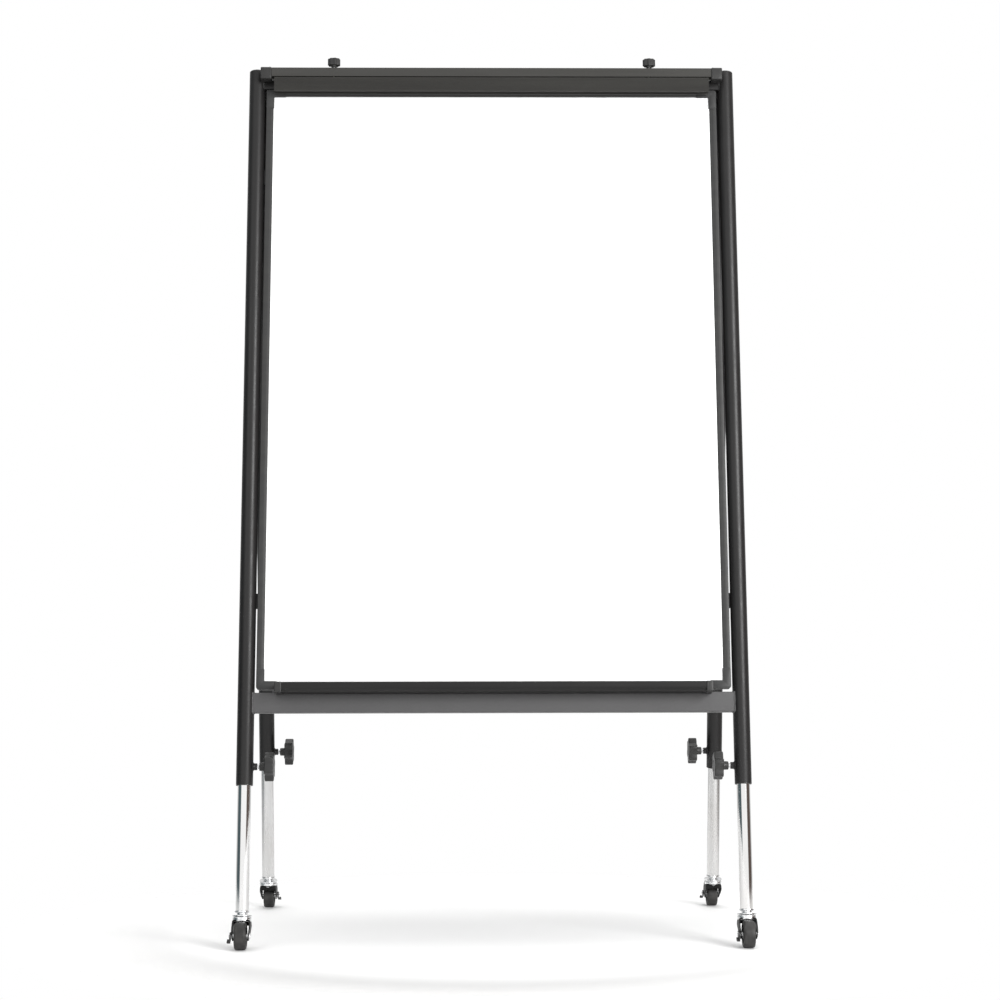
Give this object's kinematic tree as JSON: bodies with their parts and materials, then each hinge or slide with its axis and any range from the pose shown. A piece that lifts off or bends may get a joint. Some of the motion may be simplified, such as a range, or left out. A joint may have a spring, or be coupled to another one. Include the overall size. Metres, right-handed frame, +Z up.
{
  "type": "mobile presentation easel",
  "caption": "Folding A-frame presentation easel with a framed white board and pen tray on each side, a paper clamp rail, telescopic legs and braked castors.",
  "frame": {"origin": "on the floor, midway between the four castors, under the top hinge line", "axes": "+Z up, -Y towards the front board with the paper clamp, +X to the right seen from the front"},
  "size_m": [0.9805, 0.6918, 1.7271],
  "materials": {
    "black_paint": "satin charcoal powder coat",
    "black_plastic": "fine-grained moulded",
    "profile_grey": "charcoal anodised",
    "dark_aluminium": "dark anodised",
    "white_board": "white lacquered writing sheet bonded to a fibre core",
    "leg_chrome": "bright plated tube",
    "zinc": "zinc plated",
    "castor_steel": "black painted fork with a plated crown",
    "wheel_rubber": "hard matt tread",
    "nylon": "natural nylon"
  },
  "bodies": {
    "front_frame": {"clamp_rail": "dark_aluminium", "front_board_corners": "black_plastic", "front_board_panel": "white_board", "front_board_profiles": "profile_grey", "front_hinge_leaves": "black_paint", "front_leg_bushes": "black_plastic", "front_lower_crossbar": "black_paint", "front_pen_tray": "dark_aluminium", "front_tray_end_caps": "black_plastic", "front_tube_caps": "black_plastic", "front_tube_left": "black_paint", "front_tube_right": "black_paint", "front_upper_crossbar": "black_paint", "hinge_pins": "zinc", "rail_end_caps": "black_plastic"},
    "rear_frame": {"rear_board_corners": "black_plastic", "rear_board_panel": "white_board", "rear_board_profiles": "profile_grey", "rear_hinge_leaves": "black_paint", "rear_leg_bushes": "black_plastic", "rear_lower_crossbar": "black_paint", "rear_pen_tray": "dark_aluminium", "rear_tray_end_caps": "black_plastic", "rear_tube_caps": "black_plastic", "rear_tube_left": "black_paint", "rear_tube_right": "black_paint", "rear_upper_crossbar": "black_paint"},
    "leg_front_left": {"leg_tube_front_left": "leg_chrome", "castor_stem_front_left": "zinc"},
    "castor_front_left": {"castor_fork_front_left": "castor_steel"},
    "wheel_front_left": {"castor_wheel_front_left": "wheel_rubber"},
    "brake_front_left": {"brake_lever_front_left": "black_plastic"},
    "leg_screw_front_left": {"leg_screw_pad_front_left": "nylon"},
    "leg_knob_front_left": {"leg_knob_front_left": "black_plastic"},
    "leg_front_right": {"leg_tube_front_right": "leg_chrome", "castor_stem_front_right": "zinc"},
    "castor_front_right": {"castor_fork_front_right": "castor_steel"},
    "wheel_front_right": {"castor_wheel_front_right": "wheel_rubber"},
    "brake_front_right": {"brake_lever_front_right": "black_plastic"},
    "leg_screw_front_right": {"leg_screw_pad_front_right": "nylon"},
    "leg_knob_front_right": {"leg_knob_front_right": "black_plastic"},
    "leg_rear_left": {"leg_tube_rear_left": "leg_chrome", "castor_stem_rear_left": "zinc"},
    "castor_rear_left": {"castor_fork_rear_left": "castor_steel"},
    "wheel_rear_left": {"castor_wheel_rear_left": "wheel_rubber"},
    "brake_rear_left": {"brake_lever_rear_left": "black_plastic"},
    "leg_screw_rear_left": {"leg_screw_pad_rear_left": "nylon"},
    "leg_knob_rear_left": {"leg_knob_rear_left": "black_plastic"},
    "leg_rear_right": {"leg_tube_rear_right": "leg_chrome", "castor_stem_rear_right": "zinc"},
    "castor_rear_right": {"castor_fork_rear_right": "castor_steel"},
    "wheel_rear_right": {"castor_wheel_rear_right": "wheel_rubber"},
    "brake_rear_right": {"brake_lever_rear_right": "black_plastic"},
    "leg_screw_rear_right": {"leg_screw_pad_rear_right": "nylon"},
    "leg_knob_rear_right": {"leg_knob_rear_right": "black_plastic"},
    "clamp_plate": {"clamp_plate": "dark_aluminium"},
    "clamp_tip_left": {"clamp_screw_tip_left": "nylon"},
    "clamp_knob_left": {"clamp_knob_left": "black_plastic"},
    "clamp_tip_right": {"clamp_screw_tip_right": "nylon"},
    "clamp_knob_right": {"clamp_knob_right": "black_plastic"}
  },
  "joints": [
    {"name": "frame_fold", "type": "hinge", "parent": "front_frame", "child": "rear_frame", "pos_m": [0, 0, 1.6754], "axis": [1, 0, 0], "range_deg": [-18, 0]},
    {"name": "leg_front_left_slide", "type": "slide", "parent": "front_frame", "child": "leg_front_left", "axis": [0, -0.1616, -0.9869], "range_m": [-0.215, 0.12]},
    {"name": "castor_front_left_swivel", "type": "hinge", "parent": "leg_front_left", "child": "castor_front_left", "pos_m": [-0.469, -0.29322, 0.0577], "axis": [0, 0.1616, 0.9869], "continuous": true},
    {"name": "wheel_front_left_spin", "type": "hinge", "parent": "castor_front_left", "child": "wheel_front_left", "pos_m": [-0.469, -0.32087, 0.025], "axis": [1, 0, 0], "continuous": true},
    {"name": "brake_front_left_press", "type": "hinge", "parent": "castor_front_left", "child": "brake_front_left", "pos_m": [-0.469, -0.32087, 0.025], "axis": [1, 0, 0], "range_deg": [0, 20]},
    {"name": "leg_screw_front_left_travel", "type": "slide", "parent": "front_frame", "child": "leg_screw_front_left", "axis": [1, 0, 0], "range_m": [0, 0.0025]},
    {"name": "leg_knob_front_left_turn", "type": "hinge", "parent": "leg_screw_front_left", "child": "leg_knob_front_left", "pos_m": [-0.43, -0.24843, 0.3312], "axis": [1, 0, 0], "range_deg": [0, 722]},
    {"name": "leg_front_right_slide", "type": "slide", "parent": "front_frame", "child": "leg_front_right", "axis": [0, -0.1616, -0.9869], "range_m": [-0.215, 0.12]},
    {"name": "castor_front_right_swivel", "type": "hinge", "parent": "leg_front_right", "child": "castor_front_right", "pos_m": [0.469, -0.29322, 0.0577], "axis": [0, 0.1616, 0.9869], "continuous": true},
    {"name": "wheel_front_right_spin", "type": "hinge", "parent": "castor_front_right", "child": "wheel_front_right", "pos_m": [0.469, -0.32087, 0.025], "axis": [1, 0, 0], "continuous": true},
    {"name": "brake_front_right_press", "type": "hinge", "parent": "castor_front_right", "child": "brake_front_right", "pos_m": [0.469, -0.32087, 0.025], "axis": [1, 0, 0], "range_deg": [0, 20]},
    {"name": "leg_screw_front_right_travel", "type": "slide", "parent": "front_frame", "child": "leg_screw_front_right", "axis": [-1, 0, 0], "range_m": [0, 0.0025]},
    {"name": "leg_knob_front_right_turn", "type": "hinge", "parent": "leg_screw_front_right", "child": "leg_knob_front_right", "pos_m": [0.43, -0.24843, 0.3312], "axis": [-1, 0, 0], "range_deg": [0, 722]},
    {"name": "leg_rear_left_slide", "type": "slide", "parent": "rear_frame", "child": "leg_rear_left", "axis": [0, 0.1616, -0.9869], "range_m": [-0.215, 0.12]},
    {"name": "castor_rear_left_swivel", "type": "hinge", "parent": "leg_rear_left", "child": "castor_rear_left", "pos_m": [-0.469, 0.29322, 0.0577], "axis": [0, -0.1616, 0.9869], "continuous": true},
    {"name": "wheel_rear_left_spin", "type": "hinge", "parent": "castor_rear_left", "child": "wheel_rear_left", "pos_m": [-0.469, 0.32087, 0.025], "axis": [1, 0, 0], "continuous": true},
    {"name": "brake_rear_left_press", "type": "hinge", "parent": "castor_rear_left", "child": "brake_rear_left", "pos_m": [-0.469, 0.32087, 0.025], "axis": [-1, 0, 0], "range_deg": [0, 20]},
    {"name": "leg_screw_rear_left_travel", "type": "slide", "parent": "rear_frame", "child": "leg_screw_rear_left", "axis": [1, 0, 0], "range_m": [0, 0.0025]},
    {"name": "leg_knob_rear_left_turn", "type": "hinge", "parent": "leg_screw_rear_left", "child": "leg_knob_rear_left", "pos_m": [-0.43, 0.24843, 0.3312], "axis": [1, 0, 0], "range_deg": [0, 722]},
    {"name": "leg_rear_right_slide", "type": "slide", "parent": "rear_frame", "child": "leg_rear_right", "axis": [0, 0.1616, -0.9869], "range_m": [-0.215, 0.12]},
    {"name": "castor_rear_right_swivel", "type": "hinge", "parent": "leg_rear_right", "child": "castor_rear_right", "pos_m": [0.469, 0.29322, 0.0577], "axis": [0, -0.1616, 0.9869], "continuous": true},
    {"name": "wheel_rear_right_spin", "type": "hinge", "parent": "castor_rear_right", "child": "wheel_rear_right", "pos_m": [0.469, 0.32087, 0.025], "axis": [1, 0, 0], "continuous": true},
    {"name": "brake_rear_right_press", "type": "hinge", "parent": "castor_rear_right", "child": "brake_rear_right", "pos_m": [0.469, 0.32087, 0.025], "axis": [-1, 0, 0], "range_deg": [0, 20]},
    {"name": "leg_screw_rear_right_travel", "type": "slide", "parent": "rear_frame", "child": "leg_screw_rear_right", "axis": [-1, 0, 0], "range_m": [0, 0.0025]},
    {"name": "leg_knob_rear_right_turn", "type": "hinge", "parent": "leg_screw_rear_right", "child": "leg_knob_rear_right", "pos_m": [0.43, 0.24843, 0.3312], "axis": [-1, 0, 0], "range_deg": [0, 722]},
    {"name": "clamp_open", "type": "hinge", "parent": "front_frame", "child": "clamp_plate", "pos_m": [0, -0.0552, 1.68446], "axis": [-1, 0, 0], "range_deg": [0, 12]},
    {"name": "clamp_tip_left_travel", "type": "slide", "parent": "front_frame", "child": "clamp_tip_left", "axis": [0, 0.1616, 0.9869], "range_m": [-0.0012, 0.0012]},
    {"name": "clamp_knob_left_turn", "type": "hinge", "parent": "clamp_tip_left", "child": "clamp_knob_left", "pos_m": [-0.3146, -0.05218, 1.72025], "axis": [0, 0.1616, 0.9869], "range_deg": [-541, 541]},
    {"name": "clamp_tip_right_travel", "type": "slide", "parent": "front_frame", "child": "clamp_tip_right", "axis": [0, 0.1616, 0.9869], "range_m": [-0.0012, 0.0012]},
    {"name": "clamp_knob_right_turn", "type": "hinge", "parent": "clamp_tip_right", "child": "clamp_knob_right", "pos_m": [0.3146, -0.05218, 1.72025], "axis": [0, 0.1616, 0.9869], "range_deg": [-541, 541]}
  ],
  "couplings": [
    {"joint": "leg_knob_front_left_turn", "follows": "leg_screw_front_left_travel", "rad_per_m": 5026.5},
    {"joint": "leg_knob_front_right_turn", "follows": "leg_screw_front_right_travel", "rad_per_m": 5026.5},
    {"joint": "leg_knob_rear_left_turn", "follows": "leg_screw_rear_left_travel", "rad_per_m": 5026.5},
    {"joint": "leg_knob_rear_right_turn", "follows": "leg_screw_rear_right_travel", "rad_per_m": 5026.5},
    {"joint": "clamp_knob_left_turn", "follows": "clamp_tip_left_travel", "rad_per_m": 7854},
    {"joint": "clamp_knob_right_turn", "follows": "clamp_tip_right_travel", "rad_per_m": 7854}
  ]
}
